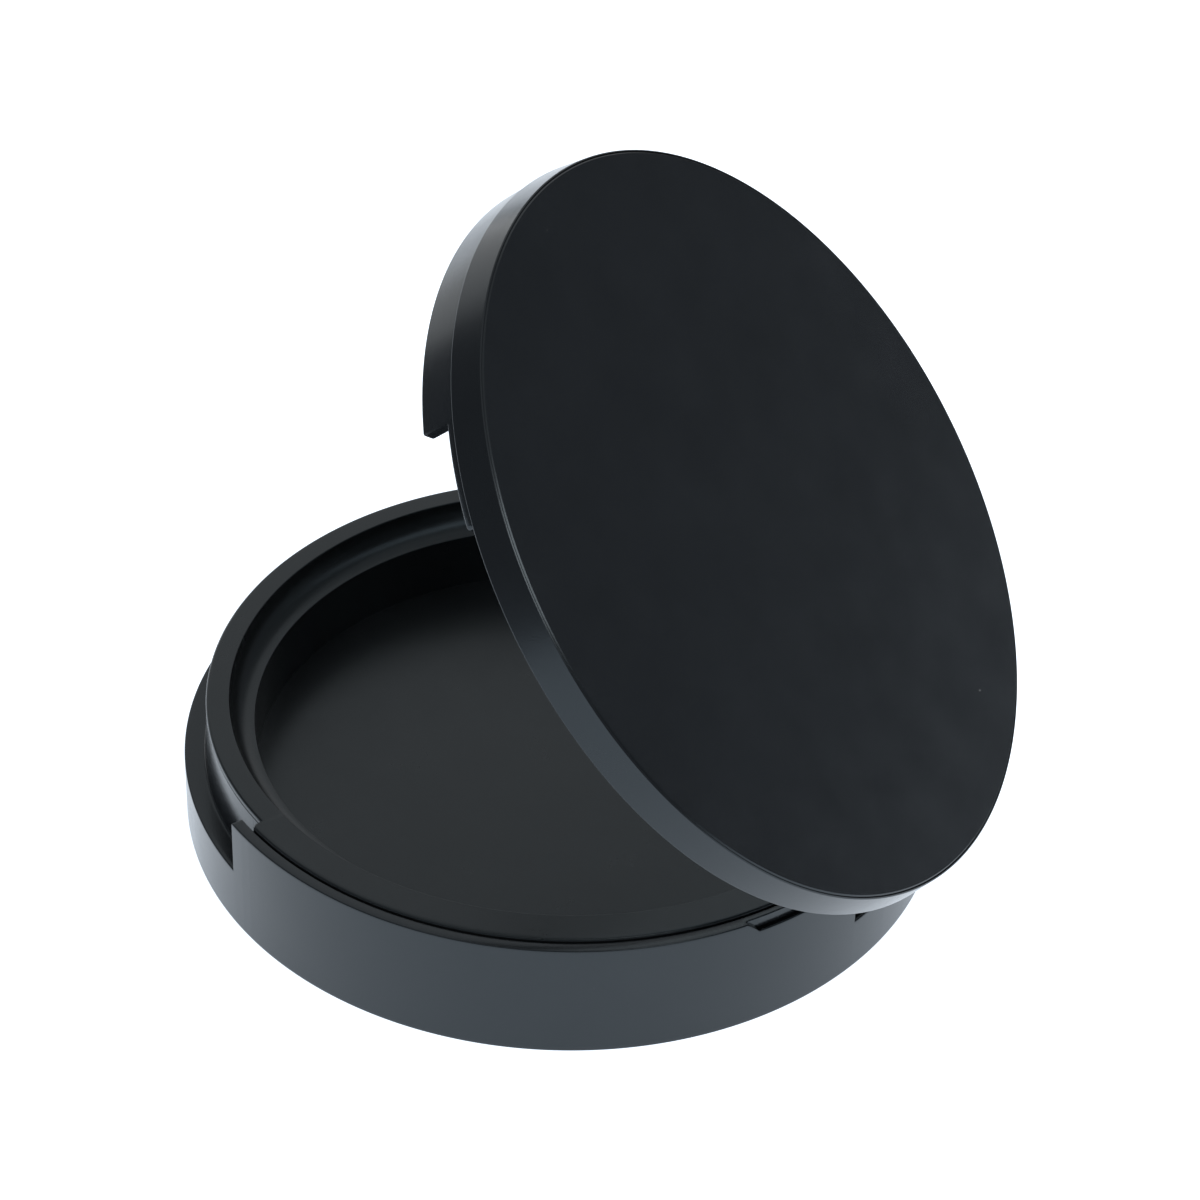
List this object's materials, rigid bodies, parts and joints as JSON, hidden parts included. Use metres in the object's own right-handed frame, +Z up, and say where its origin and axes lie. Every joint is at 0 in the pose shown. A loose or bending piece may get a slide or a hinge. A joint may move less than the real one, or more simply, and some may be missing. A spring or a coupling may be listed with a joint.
{
  "type": "hinged palette case",
  "caption": "Low round hinged case with an open round well, a narrow ledge, a front thumb notch and a lid with an inlaid top plate and pull tab.",
  "frame": {"origin": "centre of the base's flat underside", "axes": "+Z up out of the well, +Y towards the hinge, -Y towards the thumb notch, +X to the right seen from the notch"},
  "size_m": [0.075, 0.0813, 0.0671],
  "materials": {
    "shell_plastic": "fine matte black moulded plastic with crisp edges",
    "tray_plastic": "fine matte black moulded plastic",
    "lid_plastic": "fine matte black moulded plastic with a faint satin sheen on the side band",
    "frame_plastic": "fine matte black moulded plastic",
    "plate_plastic": "soft matte bluish black sheet",
    "adhesive_film": "translucent adhesive film",
    "mirror_glass": "silvered glass",
    "pin_steel": "drawn steel wire"
  },
  "bodies": {
    "base": {"base_shell": "shell_plastic", "tray_insert": "tray_plastic", "hinge_pin": "pin_steel"},
    "lid": {"lid_cover": "lid_plastic", "lid_top_plate": "plate_plastic", "top_plate_adhesive": "adhesive_film", "lid_frame": "frame_plastic", "mirror": "mirror_glass", "mirror_adhesive": "adhesive_film"}
  },
  "joints": [
    {"name": "lid_hinge", "type": "hinge", "parent": "base", "child": "lid", "pos_m": [0, 0.0358, 0.0062], "axis": [-1, 0, 0], "range_deg": [-48.6, 61.4]}
  ]
}
